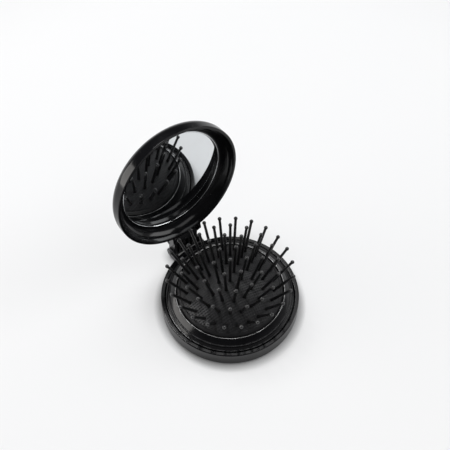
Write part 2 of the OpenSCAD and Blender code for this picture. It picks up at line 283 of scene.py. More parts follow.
def rounded(corners, steps=5):
    """A closed outline: each corner is (x, y), or (x, y, radius) where it is rounded."""
    points = []
    count = len(corners)
    for i, corner in enumerate(corners):
        here = Vector(corner[:2])
        if len(corner) == 2:
            points.append(tuple(here))
            continue
        before = (Vector(corners[i - 1][:2]) - here).normalized()
        after = (Vector(corners[(i + 1) % count][:2]) - here).normalized()
        half = before.angle(after) / 2
        centre = here + (before + after).normalized() * corner[2] / math.sin(half)
        reach = corner[2] / math.tan(half)
        first = here + before * reach - centre
        last = here + after * reach - centre
        turn = math.atan2(first.x * last.y - first.y * last.x, first.dot(last))
        for k in range(steps + 1):
            spoke = Matrix.Rotation(turn * k / steps, 2) @ first
            points.append(tuple(centre + spoke))
    return points


def ring_points(r, n):
    """Points all round a circle about the origin."""
    angles = [2 * math.pi * i / n for i in range(n)]
    return [(r * math.cos(a), r * math.sin(a)) for a in angles]


# ---- meshes ----

def lathe(mesh, outline, turns=turned_faces, closed=True, place=None):
    """Turns an outline of (r, z) points round the Z axis, and moves the result by place."""
    place = place or Matrix.Identity(4)
    rings = []
    for r, z in outline:
        if r < on_axis:
            rings.append([mesh.verts.new(place @ Vector((0, 0, z * MM)))])
            continue
        spots = [Vector((x * MM, y * MM, z * MM)) for x, y in ring_points(r, turns)]
        rings.append([mesh.verts.new(place @ spot) for spot in spots])
    following = rings[1:] + rings[:1] if closed else rings[1:]
    for here, there in zip(rings, following):
        bridge(mesh, here, there, turns)
    return rings


def bridge(mesh, here, there, turns):
    """Faces between two rings, either of which may be a single point on the axis."""
    if len(here) == len(there) == 1:
        return
    for i in range(turns):
        j = (i + 1) % turns
        first = [here[i % len(here)], here[j % len(here)]]
        second = [there[j % len(there)], there[i % len(there)]]
        mesh.faces.new(list(dict.fromkeys(first + second)))


def plate(mesh, outline, x0, x1, bevel, hole=None):
    """A plate from x0 to x1 whose outline lies in the YZ plane, with rounded edges and a hole."""
    curve = bpy.data.curves.new("plate", "CURVE")
    curve.dimensions = "2D"
    curve.fill_mode = "BOTH"
    curve.extrude = ((x1 - x0) / 2 - bevel) * MM
    curve.bevel_depth = bevel * MM
    curve.bevel_resolution = 3
    curve.offset = -bevel * MM
    for loop in [outline] + ([hole] if hole else []):
        spline = curve.splines.new("POLY")
        spline.points.add(len(loop) - 1)
        spline.use_cyclic_u = True
        for point, (y, z) in zip(spline.points, loop):
            point.co = (y * MM, z * MM, 0, 1)
    maker = bpy.data.objects.new("plate", curve)
    made = bpy.data.meshes.new_from_object(maker)
    middle = (x0 + x1) / 2 * MM
    stand_up = Matrix(((0, 0, 1, middle), (1, 0, 0, 0), (0, 1, 0, 0), (0, 0, 0, 1)))
    made.transform(stand_up)
    mesh.from_mesh(made)
    bpy.data.objects.remove(maker)
    bpy.data.curves.remove(curve)
    bpy.data.meshes.remove(made)


def mirrored_plates(mesh, outline, x0, x1, bevel, hole=None):
    """The plate and its twin on the other side of the middle plane."""
    plate(mesh, outline, x0, x1, bevel, hole)
    plate(mesh, outline, -x1, -x0, bevel, hole)


def swing_open(mesh):
    """Turns what was drawn closed to the lid's rest pose."""
    hinge = top_pivot * MM
    turn = Matrix.Rotation(math.radians(open_angle), 4, Vector(joint("lid_hinge")["axis"]))
    mesh.transform(Matrix.Translation(hinge) @ turn @ Matrix.Translation(-hinge))


def piece(name, mesh, material, node, body):
    """A finished piece that stands for a CAD node and rides on its body."""
    bmesh.ops.remove_doubles(mesh, verts=mesh.verts, dist=0.0005 * MM)
    bmesh.ops.recalc_face_normals(mesh, faces=mesh.faces)
    data = bpy.data.meshes.new(name)
    mesh.to_mesh(data)
    mesh.free()
    data.materials.append(material)
    data.shade_smooth()
    made = bpy.data.objects.new(name, data)
    bpy.context.scene.collection.objects.link(made)
    made.modifiers.new("even_shading", "WEIGHTED_NORMAL")
    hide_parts(node)
    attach(made, body)
    return made


# ---- the base ----

def ear_outline(rim_z, up, root):
    """A hinge ear: up is 1 on the base and -1 on the lid; root is its end inside the wall."""
    pivot = low_pivot if up > 0 else top_pivot
    first, last = (-90, ear_slope) if up > 0 else (90, -ear_slope)
    knuckle = arc((pivot.y, pivot.z), knuckle_r, knuckle_r, first, last, 16)
    top = rim_z - up * ear_inset
    shoulder = (ear_shoulder_y, top, ear_shoulder_round)
    return rounded(root + knuckle + [shoulder, (ear_root_y, top)])


def ear_hole(pivot, n=32):
    """Outline of the bore that holds a steel pin."""
    r = hinge_pin_r + hinge_pin_gap
    return arc((pivot.y, pivot.z), r, r, 0, 360 - 360 / n, n - 1)


def hinge_ears(mesh, outline, pivot):
    mirrored_plates(mesh, outline, ear_x, ear_x + ear_t, ear_round, ear_hole(pivot))


def base_shell(material):
    mesh = bmesh.new()
    lathe(mesh, rounded([
        (thumb_r, mouth_lip_z, fine_round),
        (mouth_r, mouth_lip_z, fine_round),
        (mouth_r, 0, mouth_round),
        (case_r, 0, base_edge_r),
        (case_r, base_h, base_rim_round),
        (rim_in_r, base_h, joint_round),
        (rim_in_r, ledge_z, fine_round),
        (skirt_r, ledge_z, fine_round),
        (skirt_r, floor_t, fine_round),
        (seat_r + wall, floor_t, fine_round),
        (seat_r + wall, seat_h, fine_round),
        (seat_r, seat_h, fine_round),
        (seat_r, floor_t, fine_round),
        (thumb_r + wall, floor_t, fine_round),
        (thumb_r + wall, collar_h, fine_round),
        (thumb_r, collar_h, fine_round),
    ], steps=7))
    root = [(ear_root_y, low_pivot.z - knuckle_r)]
    hinge_ears(mesh, ear_outline(base_h, 1, root), low_pivot)
    return piece("base_case", mesh, material, "base_shell", "base")


def base_bezel(material):
    crest_r = lip_r + crest_w
    slope_top = (crest_r + slope_stop[0], crest_z + slope_stop[1])
    slope = bowed((foot_r, land_z), slope_top, slope_bulge, 24)
    crest = arc((crest_r, crest_z - crest_w), crest_w, crest_w, crest_start, 180, 12)
    mesh = bmesh.new()
    lathe(mesh, rounded([
        (lip_r, shoulder_z, fine_round),
        (flange_r + flange_gap, shoulder_z, fine_round),
        (flange_r + flange_gap, seat_h, fine_round),
        (skirt_r, seat_h, fine_round),
        (skirt_r, ledge_z, fine_round),
        (land_r, ledge_z, fine_round),
        (land_r, land_z, fine_round),
        (foot_r + foot_support, land_z),
    ] + slope + crest))
    return piece("brush_bezel", mesh, material, "base_bezel", "base")


# ---- the brush ----

def pin_directions():
    """For each ring, the direction of every pin from the dome's centre."""
    rings = []
    for k in range(pin_rings + 1):
        tilt = math.asin(k * ring_pitch / dome_r)
        count = max(1, 6 * k)
        turns = [pattern_turn + 2 * math.pi * i / count for i in range(count)]
        rings.append([
            Vector((-math.sin(tilt) * math.sin(a), math.sin(tilt) * math.cos(a), math.cos(tilt)))
            for a in turns
        ])
    return rings


def flat_topped(pitches):
    """A wave from -1 to 1 that repeats with each pitch, flat at its tops and bottoms."""
    return np.clip(grid_sharpness * np.cos(2 * math.pi * pitches), -1, 1)


def dome_height(x, y, pins):
    """Height of the rubber at each point, with the moulded grid and a funnel round each pin."""
    plain = np.sqrt(dome_r ** 2 - x ** 2 - y ** 2)
    out = np.stack([x, y, plain], 1) / dome_r
    along = (x * math.cos(grid_turn) + y * math.sin(grid_turn)) / grid_pitch
    across = (y * math.cos(grid_turn) - x * math.sin(grid_turn)) / grid_pitch
    ribs = flat_topped(across) * rib_relief / 2
    lines = flat_topped(along) * cross_relief / 2
    nearest = np.clip((out @ pins.T).max(1), -1, 1)
    away = np.arccos(nearest) * dome_r / funnel_r
    funnel = np.clip(1 - away, 0, 1)
    fade = np.clip((relief_edge - np.hypot(x, y)) / relief_fade, 0, 1)
    fade = fade * np.clip(away - 1, 0, 1)
    lift = (ribs + lines) * fade - funnel_depth * funnel ** 2 * (3 - 2 * funnel)
    return dome_z + plain + lift


def dome_top(mesh, pins, rim):
    """The gridded top of the dome; rim is the outline's point at which it starts."""
    step = grid_pitch / grid_steps
    reach = int(relief_edge / step) + 2
    ticks = np.arange(-reach, reach + 1) * step
    u, v = (a.ravel() for a in np.meshgrid(ticks, ticks))
    x = u * math.cos(grid_turn) - v * math.sin(grid_turn)
    y = u * math.sin(grid_turn) + v * math.cos(grid_turn)
    inside = np.hypot(x, y) < rim[0] - step * 0.6
    spots = [Vector(p) for p in ring_points(rim[0], turned_faces)]
    spots += [Vector(p) for p in zip(x[inside], y[inside])]
    loop = [list(range(turned_faces))]
    flat, _, faces, *_ = delaunay_2d_cdt(spots, [], loop, 1, 1e-6)
    px = np.array([p.x for p in flat])
    py = np.array([p.y for p in flat])
    heights = dome_height(px, py, pins)
    verts = [mesh.verts.new((a * MM, b * MM, c * MM)) for a, b, c in zip(px, py, heights)]
    for face in faces:
        mesh.faces.new([verts[i] for i in face])


def on_dome(r, lift=0.0):
    """A point of the dome's outline at the radius r."""
    return (r, dome_z + math.sqrt(dome_r ** 2 - r ** 2) + lift)


def cushion(material, pins):
    rim_r = bead_at - 2 * bead_r
    bead = [
        on_dome(bead_at + out, up)
        for out, up in arc((0, 0), bead_r, bead_r * 0.9, 180, 0, 12)
    ]
    edge = rounded([
        on_dome(edge_r - edge_w),
        (edge_r, edge_z, edge_round),
        (edge_r, shoulder_z, fine_round),
        (flange_r, shoulder_z, fine_round),
        (flange_r, flange_z, fine_round),
        (clamp_in_r, flange_z),
    ])
    inner_r = dome_r - dome_t
    reach = math.degrees(math.asin(clamp_in_r / inner_r))
    under = arc((0, dome_z), inner_r, inner_r, 90 - reach, 90, 40)
    profile = [on_dome(rim_r)] + bead + [on_dome(bead_at + 2 * bead_r)] + edge + under
    mesh = bmesh.new()
    lathe(mesh, profile, closed=False)
    dome_top(mesh, np.array([list(d) for ring in pins for d in ring]), on_dome(rim_r))
    return piece("rubber_dome", mesh, material, "cushion", "base")


def pin_profile(reach):
    """Outline of one pin, from its head behind the rubber to the top of its ball."""
    ball_start = math.degrees(math.asin(neck_r / ball_r))
    ball_z = reach - ball_r * math.cos(math.radians(ball_start))
    root_z = dome_r - funnel_depth
    shaft = [
        (0, head_z),
        (head_r, head_z),
        (head_r, head_z + head_t),
        (shank_r, head_z + head_t),
        (shank_r, root_z),
        (root_r, root_z + root_h),
        (neck_r, ball_z - neck_h),
    ]
    ball = arc((0, reach), ball_r, ball_r, ball_start - 90, 90, 12)
    return shaft + ball[:-1] + [(0, reach + ball_r)]


def ball_reach(direction):
    """Distance from the dome's centre, along a pin, to the sphere that the balls lie on."""
    up = tip_z - dome_z
    sine = math.hypot(direction.x, direction.y)
    return up * direction.z + math.sqrt(tip_sphere_r ** 2 - (up * sine) ** 2)


def pin_ring(material, directions, node):
    mesh = bmesh.new()
    for direction in directions:
        lean = direction.to_track_quat("Z", "Y").to_matrix().to_4x4()
        place = Matrix.Translation((0, 0, dome_z * MM)) @ lean
        lathe(mesh, pin_profile(ball_reach(direction)), pin_faces, place=place)
    return piece("nylon_" + node, mesh, material, node, "base")


def fold_with_lid(made):
    """Gives the rubber or pins a mesh of their own."""
    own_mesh(made)


# ---- the push button ----

def push_button(material):
    mesh = bmesh.new()
    ball = sphere_r(dish_r, dish_depth)
    rim = math.degrees(math.asin(dish_r / ball))
    dish = arc((0, button_z + dish_depth - ball), ball, ball, 90, 90 - rim, 20)
    inner_r = button_r - wall
    plate_z = button_z + button_t
    lathe(mesh, rounded(dish + [
        (button_foot_r, button_z, button_round),
        (button_foot_r, button_z + button_foot_h, fine_round),
        (button_r, button_z + button_foot_h, fine_round),
        (button_r, button_z + button_skirt_h, fine_round),
        (inner_r, button_z + button_skirt_h, fine_round),
        (inner_r, plate_z, fine_round),
        (stem_r, plate_z, stem_round),
        (stem_r, spreader_z, fine_round),
        (spigot_r, spreader_z, 0.05),
        (spigot_r, spreader_z + spigot_h, spigot_round),
        (0, spreader_z + spigot_h),
    ]))
    rib_end = inner_r + stem_rib_reach
    rib = [
        (stem_rib_start, plate_z - stem_rib_sink),
        (rib_end, plate_z - stem_rib_sink),
        (rib_end, plate_z + stem_rib_toe, stem_rib_round),
        (stem_r, plate_z + stem_rib_rise, stem_rib_round),
        (stem_rib_start, plate_z + stem_rib_rise),
    ]
    ribs = bmesh.new()
    plate(ribs, rounded(rib), -stem_rib_t / 2, stem_rib_t / 2, stem_rib_round)
    one = bpy.data.meshes.new("rib")
    ribs.to_mesh(one)
    ribs.free()
    for i in range(stem_rib_n):
        turned = one.copy()
        turned.transform(Matrix.Rotation(2 * math.pi * i / stem_rib_n, 4, "Z"))
        mesh.from_mesh(turned)
        bpy.data.meshes.remove(turned)
    bpy.data.meshes.remove(one)
    return piece("thumb_button", mesh, material, "push_button", "button")


# ---- the hinge ----

def link_outline(depth, stop):
    """Side view of a slice of the link: both faces cut back by depth between the stops."""
    y = low_pivot.y
    bottom = arc((y, low_pivot.z), knuckle_r, knuckle_r, 180, 360, 20)
    top = arc((y, top_pivot.z), knuckle_r, knuckle_r, 0, 180, 20)
    if not depth:
        return bottom + top
    waist = knuckle_r - depth
    z0 = low_pivot.z + stop
    z1 = top_pivot.z - stop
    right = [
        (y + knuckle_r, z0, link_crest_round),
        (y + waist, z0, link_corner_round),
        (y + waist, z1, link_corner_round),
        (y + knuckle_r, z1, link_crest_round),
    ]
    left = [(2 * y - across, z, r) for across, z, r in reversed(right)]
    return rounded(bottom + right + top + left)


def hinge_link(material):
    """The ribbed link, as slices side by side: margins, ribs and the grooves between them."""
    mesh = bmesh.new()
    half = link_w / 2
    recess_x = half - link_margin - 2 * link_groove_n * link_rib_w
    join = link_join
    plain = link_outline(0, 0)
    groove = link_outline(link_groove_depth, link_groove_stop)
    recess = link_outline(link_groove_depth, link_recess_stop)
    mirrored_plates(mesh, plain, half - link_margin, half, link_round)
    for k in range(link_groove_n):
        rib_x = recess_x + 2 * k * link_rib_w
        groove_x = rib_x + link_rib_w
        mirrored_plates(mesh, plain, rib_x, groove_x, link_round)
        mirrored_plates(mesh, groove, groove_x - join, groove_x + link_rib_w + join, join / 2)
    plate(mesh, recess, -recess_x - join, recess_x + join, join / 2)
    return piece("ribbed_link", mesh, material, "hinge_link", "link")


def hinge_pin(material, pivot, node, body):
    half = min(side(node, HIGH, X), ear_x + ear_t - hinge_pin_inset)
    outline = rounded([
        (0, -half),
        (hinge_pin_r, -half, hinge_pin_round),
        (hinge_pin_r, half, hinge_pin_round),
        (0, half),
    ])
    mesh = bmesh.new()
    lay = Matrix.Rotation(math.pi / 2, 4, "Y")
    lathe(mesh, outline, hinge_pin_faces, place=Matrix.Translation(pivot * MM) @ lay)
    return piece("steel_" + node, mesh, material, node, body)


# ---- the lid ----

def lid_shell(material):
    crown_r = sphere_r(lid_edge[0], lid_crown)
    crown_z = lid_rim_z + lid_h + lid_crown - crown_r
    crown_start = math.degrees(math.acos(lid_edge[0] / crown_r))
    outside = arc(lid_edge, lid_edge_r, lid_edge_r, 0, lid_edge_stop, 28)
    crown = arc((0, crown_z), crown_r, crown_r, crown_start, 90, 40)
    inside = arc(lid_edge, lid_edge_r - wall, lid_floor_z - lid_edge[1], 90, 0, 12)
    mesh = bmesh.new()
    lathe(mesh, rounded(
        [(bore_r, lid_rim_z, lid_rim_round / 2), (case_r, lid_rim_z, lid_rim_round)]
        + outside + crown + [(0, lid_floor_z)] + inside
    ))
    root = [
        (ear_root_y, lid_rim_z + lid_h - lid_ear_root_h),
        (lid_ear_root_y, top_pivot.z + knuckle_r),
    ]
    hinge_ears(mesh, ear_outline(lid_rim_z, -1, root), top_pivot)
    swing_open(mesh)
    return piece("lid_case", mesh, material, "lid_shell", "lid")


def mirror_bezel(material):
    bowl_r = bore_r - 2 * seat_gap
    bowl_z = lid_rim_z + seat_gap
    lip_z = glass_z - glass_lip_t
    ridge_z = lip_z - lip_ridge_h
    back_z = silver_z + glass_t
    bowl = arc((view_r, bowl_z), bowl_r - view_r, lip_z - bowl_z, 0, 90, 32)
    lip = [
        (view_r + lip_ridge[0], lip_z),
        (view_r + lip_ridge[1], ridge_z, 0.03),
        (view_r, ridge_z, 0.05),
        (view_r, back_z, 0.05),
        (glass_r + seat_gap, back_z, 0.05),
        (glass_r + seat_gap, lid_floor_z - seat_gap),
    ]
    hidden_h = lid_floor_z - lid_edge[1] - seat_gap
    hidden = arc(lid_edge, lid_edge_r - wall - seat_gap, hidden_h, 90, 0, 12)
    mesh = bmesh.new()
    lathe(mesh, rounded(
        [(bore_r - seat_gap, bowl_z, 0.08)]
        + [p for p in bowl if p[0] > view_r + lip_in]
        + lip
        + hidden
    ))
    swing_open(mesh)
    return piece("mirror_bowl", mesh, material, "mirror_bezel", "lid")


def mirror_glass(material):
    """The silvered face, set as deep as it looks through the glass, and the glass's edge."""
    mesh = bmesh.new()
    radii = [glass_r * i / 24 for i in range(25)]
    face = [(r, silver_z + r * r / (2 * silver_r)) for r in radii]
    rings = lathe(mesh, face + [(glass_r, glass_back_z), (0, glass_back_z)])
    for ring in rings[:len(face)]:
        for vert in ring:
            vert.co.z += silver_tilt * vert.co.y
    lathe(mesh, arc(glass_edge, glass_edge_r, glass_edge_r, 0, 330, 11))
    swing_open(mesh)
    return piece("round_mirror", mesh, material, "mirror", "lid")


# ---- material nodes ----

def add(tree, kind, values=None, **settings):
    """A node of this kind. Each of values is a number, a colour or an output to link."""
    made = tree.nodes.new("ShaderNode" + kind)
    for key, value in settings.items():
        setattr(made, key, value)
    for key, value in (values or {}).items():
        if isinstance(value, bpy.types.NodeSocket):
            tree.links.new(value, made.inputs[key])
        else:
            made.inputs[key].default_value = value
    return made


def maths(tree, operation, a, b=0.0, clamp=False):
    made = add(tree, "Math", {0: a, 1: b}, operation=operation, use_clamp=clamp)
    return made.outputs[0]


def spread(tree, value, low, high, to_low=0.0, to_high=1.0):
    """The value carried from one range to another, clamped and eased."""
    values = {
        "Value": value,
        "From Min": low,
        "From Max": high,
        "To Min": to_low,
        "To Max": to_high,
    }
    return add(tree, "MapRange", values, interpolation_type="SMOOTHSTEP").outputs[0]


def millimetres(tree):
    """The object's own coordinates, in millimetres."""
    place = add(tree, "TexCoord").outputs["Object"]
    return add(tree, "VectorMath", {0: place, "Scale": 1 / MM}, operation="SCALE").outputs[0]


def distance_to(tree, spot):
    """Distance from a point of the object, in millimetres."""
    values = {0: millimetres(tree), 1: spot}
    return add(tree, "VectorMath", values, operation="DISTANCE").outputs["Value"]


def from_axis(tree, place):
    """Distance from the Z axis; place holds X, Y and Z outputs."""
    flat = add(tree, "CombineXYZ", {"X": place["X"], "Y": place["Y"]}).outputs[0]
    return add(tree, "VectorMath", {0: flat}, operation="LENGTH").outputs["Value"]


def noise(tree, place, scale, detail=2.0, roughness=0.5):
    values = {"Vector": place, "Scale": scale, "Detail": detail, "Roughness": roughness}
    return add(tree, "TexNoise", values).outputs["Fac"]


def new_group(name, inputs, outputs):
    """An empty shader group with these named inputs and outputs; returns its tree and ends."""
    tree = bpy.data.node_groups.new(name, "ShaderNodeTree")
    for label, value in inputs.items():
        socket = tree.interface.new_socket(label, in_out="INPUT", socket_type="NodeSocketFloat")
        socket.default_value = value
    for label in outputs:
        tree.interface.new_socket(label, in_out="OUTPUT", socket_type="NodeSocketFloat")
    start = tree.nodes.new("NodeGroupInput").outputs
    end = tree.nodes.new("NodeGroupOutput").inputs
    return tree, start, end


def moulded_skin_group():
    """Slow waves of a moulded wall with a fine grain on top."""
    sizes = {"Wave": 4.0, "Grain": 0.2, "Grain Share": 0.3}
    tree, start, end = new_group("moulded_skin", sizes, ["Height"])
    place = millimetres(tree)
    wave = noise(tree, place, maths(tree, "DIVIDE", 1.0, start["Wave"]), 1.0)
    grain = noise(tree, place, maths(tree, "DIVIDE", 1.0, start["Grain"]), 3.0)
    share = maths(tree, "MULTIPLY", grain, start["Grain Share"])
    tree.links.new(maths(tree, "ADD", wave, share), end["Height"])
    return tree


def edge_wear_group():
    """Convex edges rubbed by handling, broken up along their length."""
    tree, start, end = new_group("edge_wear", {"Amount": 0.5, "Patch": 3.0}, ["Mask"])
    bend = add(tree, "NewGeometry").outputs["Pointiness"]
    edges = spread(tree, bend, 0.505, 0.56)
    place = millimetres(tree)
    patch = noise(tree, place, maths(tree, "DIVIDE", 1.0, start["Patch"]), 4.0, 0.6)
    broken = maths(tree, "MULTIPLY", edges, spread(tree, patch, 0.4, 0.65))
    tree.links.new(maths(tree, "MULTIPLY", broken, start["Amount"], clamp=True), end["Mask"])
    return tree


def dust_group():
    """Specks of dust that lie mostly on what faces up."""
    sizes = {"Amount": 0.5, "Speck": 0.2, "Spacing": 2.5}
    tree, start, end = new_group("dust", sizes, ["Mask"])
    closeness = maths(tree, "DIVIDE", 1.0, start["Spacing"])
    values = {"Vector": millimetres(tree), "Scale": closeness, "Randomness": 1.0}
    cells = add(tree, "TexVoronoi", values, feature="F1")
    size = maths(tree, "DIVIDE", start["Speck"], start["Spacing"])
    speck = maths(tree, "LESS_THAN", cells.outputs["Distance"], size)
    chance = add(tree, "SeparateColor", {0: cells.outputs["Color"]}).outputs[0]
    chosen = maths(tree, "GREATER_THAN", chance, 0.72)
    normal = add(tree, "NewGeometry").outputs["Normal"]
    up = add(tree, "SeparateXYZ", {0: normal}).outputs["Z"]
    facing = spread(tree, up, -0.2, 0.9, 0.1, 1.0)
    mask = maths(tree, "MULTIPLY", maths(tree, "MULTIPLY", speck, chosen), facing)
    tree.links.new(maths(tree, "MULTIPLY", mask, start["Amount"], clamp=True), end["Mask"])
    return tree


def hairlines_group():
    """Fine scratches of a polished surface, in two crossing directions."""
    sizes = {"Length": 14.0, "Width": 0.06, "Amount": 1.0}
    tree, start, end = new_group("hairlines", sizes, ["Mask"])
    place = millimetres(tree)
    fine = maths(tree, "DIVIDE", 1.0, start["Width"])
    long = maths(tree, "DIVIDE", 1.0, start["Length"])
    masks = []
    for turn in (0.5, 1.9):
        values = {"Vector": place, "Angle": turn, "Axis": (0.3, 0.2, 1.0)}
        turned = add(tree, "VectorRotate", values).outputs[0]
        stretch = add(tree, "CombineXYZ", {"X": long, "Y": fine, "Z": long}).outputs[0]
        laid = add(tree, "VectorMath", {0: turned, 1: stretch}, operation="MULTIPLY").outputs[0]
        masks.append(spread(tree, noise(tree, laid, 1.0, 1.0), 0.70, 0.76))
    both = maths(tree, "MAXIMUM", masks[0], masks[1])
    tree.links.new(maths(tree, "MULTIPLY", both, start["Amount"], clamp=True), end["Mask"])
    return tree


def use(tree, group, **values):
    """Places a shared group in a material with its own values; returns its outputs."""
    made = tree.nodes.new("ShaderNodeGroup")
    made.node_tree = group
    for label, value in values.items():
        made.inputs[label.replace("_", " ")].default_value = value
    return made.outputs


def blank_material(name):
    """A node material with only its surface shader; returns it, its tree and the shader."""
    made = bpy.data.materials.new(name)
    made.use_nodes = True
    tree = made.node_tree
    tree.nodes.clear()
    shader = add(tree, "BsdfPrincipled")
    add(tree, "OutputMaterial", {"Surface": shader.outputs[0]})
    return made, tree, shader


def blend_colour(tree, mask, plain, over):
    made = add(tree, "Mix", {"Factor": mask}, data_type="RGBA")
    for key, value in ((6, plain), (7, over)):
        if isinstance(value, bpy.types.NodeSocket):
            tree.links.new(value, made.inputs[key])
        else:
            made.inputs[key].default_value = (*value, 1)
    return made.outputs[2]


def bump(tree, height, depth):
    values = {"Height": height, "Strength": 1.0, "Distance": depth * MM}
    return add(tree, "Bump", values).outputs[0]


def plastic(name, groups, colour, gloss, wear, dust, peel, lines, pale=None, ior=1.38):
    """Moulded black plastic.

    gloss is its roughness where it is clean and unworn, peel the depth of its slow waves in
    millimetres, and lines the strength of its scratches. pale holds a function that makes a
    mask from the tree, and the colour of what that mask covers: a painted highlight on the
    bezel's crest and on the link's rib edges, and the balls' own lighter colour on the pins.
    """
    made, tree, shader = blank_material(name)
    wear_and_highlight = use(tree, groups["edge_wear"], Amount=wear, Patch=2.5)["Mask"]
    specks = use(tree, groups["dust"], Amount=dust, Speck=0.1, Spacing=1.9)["Mask"]
    scratch = use(tree, groups["hairlines"], Length=16.0, Width=0.05, Amount=lines)["Mask"]
    skin = use(tree, groups["moulded_skin"], Wave=5.0, Grain=0.35, Grain_Share=0.04)["Height"]
    shade = spread(tree, noise(tree, millimetres(tree), 0.08, 3.0), 0.35, 0.65)
    tint = blend_colour(tree, shade, colour, [c * 1.35 for c in colour])
    tint = blend_colour(tree, wear_and_highlight, tint, [c * 3 + 0.01 for c in colour])
    if pale:
        where, shown = pale
        tint = blend_colour(tree, where(tree), tint, shown)
    tint = blend_colour(tree, specks, tint, (0.32, 0.31, 0.30))
    rough = maths(tree, "MULTIPLY_ADD", shade, 0.04)
    rough.node.inputs[2].default_value = gloss
    rough = maths(tree, "ADD", rough, maths(tree, "MULTIPLY", scratch, 0.12))
    rough = maths(tree, "ADD", rough, maths(tree, "MULTIPLY", wear_and_highlight, 0.25))
    rough = maths(tree, "ADD", rough, maths(tree, "MULTIPLY", specks, 0.5), clamp=True)
    tree.links.new(tint, shader.inputs["Base Color"])
    tree.links.new(rough, shader.inputs["Roughness"])
    tree.links.new(bump(tree, skin, peel), shader.inputs["Normal"])
    shader.inputs["IOR"].default_value = ior
    return made


def crest_highlight_line(tree):
    """A painted highlight along the bezel's crest: a thin pale line, broken up by noise."""
    place = add(tree, "SeparateXYZ", {0: millimetres(tree)}).outputs
    thin = spread(tree, from_axis(tree, place), lip_r + 0.26, lip_r + 0.42, 1.0, 0.0)
    high = spread(tree, place["Z"], crest_z - 0.5, crest_z - 0.2)
    patch = spread(tree, noise(tree, millimetres(tree), 0.16, 3.0), 0.38, 0.6, 0.35, 1.0)
    return maths(tree, "MULTIPLY", maths(tree, "MULTIPLY", thin, high), patch)


def link_rib_highlight(tree):
    """A painted highlight on the convex edges of the link's ribs."""
    return spread(tree, add(tree, "NewGeometry").outputs["Pointiness"], 0.505, 0.57)


def ball_tips(tree):
    """The balls, which lie on one sphere; the shafts below them stay black."""
    away = distance_to(tree, (0, 0, tip_z))
    return spread(tree, away, tip_sphere_r - 0.7, tip_sphere_r + 0.6)


def rubber(name, groups):
    """Satin black rubber, cloudy with handling, with a painted highlight on the grid's ribs."""
    made, tree, shader = blank_material(name)
    specks = use(tree, groups["dust"], Amount=0.7, Speck=0.12, Spacing=1.6)["Mask"]
    skin = use(tree, groups["moulded_skin"], Wave=3.0, Grain=0.12, Grain_Share=0.5)["Height"]
    cloud = spread(tree, noise(tree, millimetres(tree), 0.12, 4.0), 0.35, 0.7)
    tint = blend_colour(tree, cloud, (0.0075, 0.0075, 0.0085), (0.012, 0.012, 0.0135))
    # painted highlight: the grid's ribs lighter, most near the listed spots
    tint = blend_colour(tree, rib_top_highlight(tree), tint, (0.062, 0.062, 0.064))
    tint = blend_colour(tree, specks, tint, (0.20, 0.20, 0.20))
    tree.links.new(tint, shader.inputs["Base Color"])
    tree.links.new(spread(tree, cloud, 0, 1, 0.55, 0.64), shader.inputs["Roughness"])
    tree.links.new(bump(tree, skin, 0.02), shader.inputs["Normal"])
    shader.inputs["Specular IOR Level"].default_value = 0.28
    return made


def rib_top_highlight(tree):
    """A painted highlight on the ribs and cross lines of the moulded grid, strongest near the
    listed spots.
    """
    along_grid = {"Vector": millimetres(tree), "Angle": -grid_turn}
    laid = add(tree, "VectorRotate", along_grid).outputs[0]
    place = add(tree, "SeparateXYZ", {0: laid}).outputs
    waves = []
    for axis, share in (("Y", 1.0), ("X", 0.45)):
        angle = maths(tree, "MULTIPLY", place[axis], 2 * math.pi / grid_pitch)
        wave = spread(tree, maths(tree, "COSINE", angle), -0.1, 0.8)
        waves.append(maths(tree, "MULTIPLY", wave, share))
    grid = maths(tree, "MAXIMUM", waves[0], waves[1])
    radius = from_axis(tree, place)
    inside = spread(tree, radius, relief_edge - relief_fade, relief_edge, 1.0, 0.0)
    grid = maths(tree, "MULTIPLY", grid, inside)
    shown = rib_highlight_level
    for spot, strength in highlight_spots:
        wear_and_highlight = spread(tree, distance_to(tree, spot), *highlight_r, strength, rib_highlight_level)
        shown = maths(tree, "MAXIMUM", wear_and_highlight, shown)
    return maths(tree, "MULTIPLY", grid, shown)


def drawn_steel(name, groups):
    made, tree, shader = blank_material(name)
    scratch = use(tree, groups["hairlines"], Length=4.0, Width=0.03, Amount=1.0)["Mask"]
    tint = blend_colour(tree, scratch, (0.44, 0.45, 0.47), (0.30, 0.31, 0.32))
    tree.links.new(tint, shader.inputs["Base Color"])
    tree.links.new(spread(tree, scratch, 0, 1, 0.26, 0.42), shader.inputs["Roughness"])
    shader.inputs["Metallic"].default_value = 1.0
    return made


def silvered_glass(name, groups):
    """The mirror: a faint grey-blue cast, a few specks, and the film of handling."""
    made, tree, shader = blank_material(name)
    specks = use(tree, groups["dust"], Amount=0.6, Speck=0.08, Spacing=2.2)["Mask"]
    film = spread(tree, noise(tree, millimetres(tree), 0.11, 5.0, 0.6), 0.45, 0.75)
    tint = blend_colour(tree, film, (0.86, 0.885, 0.90), (0.84, 0.86, 0.87))
    tint = blend_colour(tree, specks, tint, (0.55, 0.55, 0.55))
    tree.links.new(tint, shader.inputs["Base Color"])
    rough = spread(tree, film, 0, 1, 0.012, 0.05)
    rough = maths(tree, "ADD", rough, maths(tree, "MULTIPLY", specks, 0.4))
    tree.links.new(rough, shader.inputs["Roughness"])
    shader.inputs["Metallic"].default_value = 1.0
    facing = add(tree, "TexCoord").outputs["Normal"]
    leaning = add(tree, "VectorMath", {0: facing, 1: silver_lean}, operation="ADD").outputs[0]
    kinds = {"vector_type": "NORMAL", "convert_from": "OBJECT"}
    turned = add(tree, "VectorTransform", {"Vector": leaning}, **kinds).outputs[0]
    tree.links.new(turned, shader.inputs["Normal"])
    return made


